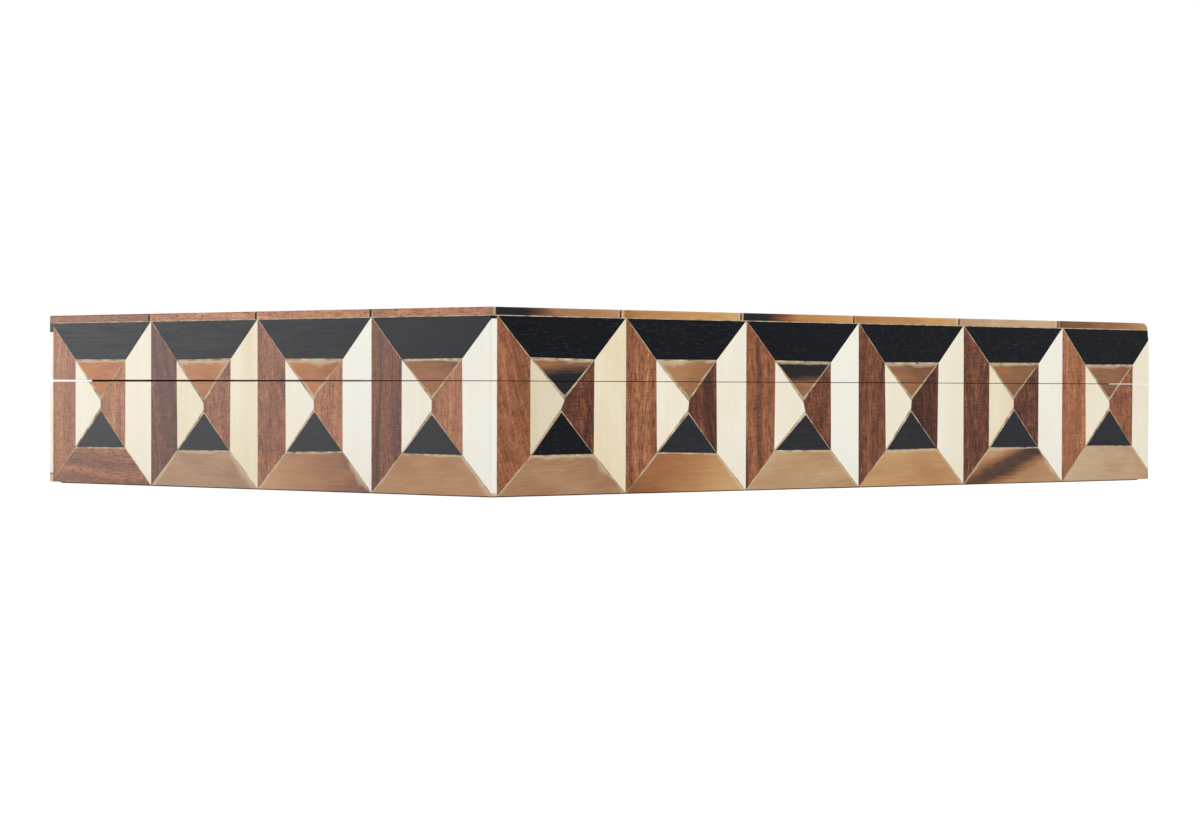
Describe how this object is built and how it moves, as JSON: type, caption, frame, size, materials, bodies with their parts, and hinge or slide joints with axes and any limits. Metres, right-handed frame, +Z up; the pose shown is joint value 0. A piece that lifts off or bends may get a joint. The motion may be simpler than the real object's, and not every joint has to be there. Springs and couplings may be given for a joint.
{
  "type": "inlaid box",
  "caption": "Low hinged wooden box covered all over with square mitred tiles of ebony, rosewood, bone and horn, for keeping small things or games.",
  "frame": {"origin": "centre of the footprint, at the underside of the felt", "axes": "+X along the long front, +Y from the front to the hinges, +Z up"},
  "size_m": [0.299, 0.2, 0.0519],
  "materials": {
    "ebony": "polished black wood with fine open pores",
    "rosewood": "polished reddish brown wood, straight dark grain",
    "bone": "polished creamy bone",
    "horn": "polished tan horn with darker clouds",
    "walnut": "plain oiled wood",
    "glue": "dried filler, dull",
    "felt": "pressed felt",
    "velvet": "short pile velvet",
    "brass": "lightly brushed brass"
  },
  "bodies": {
    "base": {"base_front_board": "walnut", "base_back_board": "walnut", "base_left_board": "walnut", "base_right_board": "walnut", "base_floor_panel": "walnut", "base_underside_felt": "felt", "base_floor_velvet": "velvet", "base_liner_strips": "velvet", "base_front_ebony": "ebony", "base_front_rosewood": "rosewood", "base_front_bone": "bone", "base_front_horn": "horn", "base_left_ebony": "ebony", "base_left_rosewood": "rosewood", "base_left_bone": "bone", "base_left_horn": "horn", "base_back_ebony": "ebony", "base_back_rosewood": "rosewood", "base_back_bone": "bone", "base_back_horn": "horn", "base_right_ebony": "ebony", "base_right_rosewood": "rosewood", "base_right_bone": "bone", "base_right_horn": "horn", "base_glue_lines": "glue", "left_hinge_base_leaf": "brass", "right_hinge_base_leaf": "brass", "hinge_pins": "brass", "base_hinge_screws": "brass"},
    "lid": {"lid_front_board": "walnut", "lid_back_board": "walnut", "lid_left_board": "walnut", "lid_right_board": "walnut", "lid_top_panel": "walnut", "lid_velvet": "velvet", "lid_front_ebony": "ebony", "lid_front_rosewood": "rosewood", "lid_front_bone": "bone", "lid_front_horn": "horn", "lid_left_ebony": "ebony", "lid_left_rosewood": "rosewood", "lid_left_bone": "bone", "lid_left_horn": "horn", "lid_back_ebony": "ebony", "lid_back_rosewood": "rosewood", "lid_back_bone": "bone", "lid_back_horn": "horn", "lid_right_ebony": "ebony", "lid_right_rosewood": "rosewood", "lid_right_bone": "bone", "lid_right_horn": "horn", "lid_top_ebony": "ebony", "lid_top_rosewood": "rosewood", "lid_top_bone": "bone", "lid_top_horn": "horn", "lid_glue_lines": "glue", "left_hinge_lid_leaf": "brass", "right_hinge_lid_leaf": "brass", "lid_hinge_screws": "brass"}
  },
  "joints": [
    {"name": "lid_hinge", "type": "hinge", "parent": "base", "child": "lid", "pos_m": [0, 0.0979, 0.03176], "axis": [-1, 0, 0], "range_deg": [0, 100]}
  ]
}
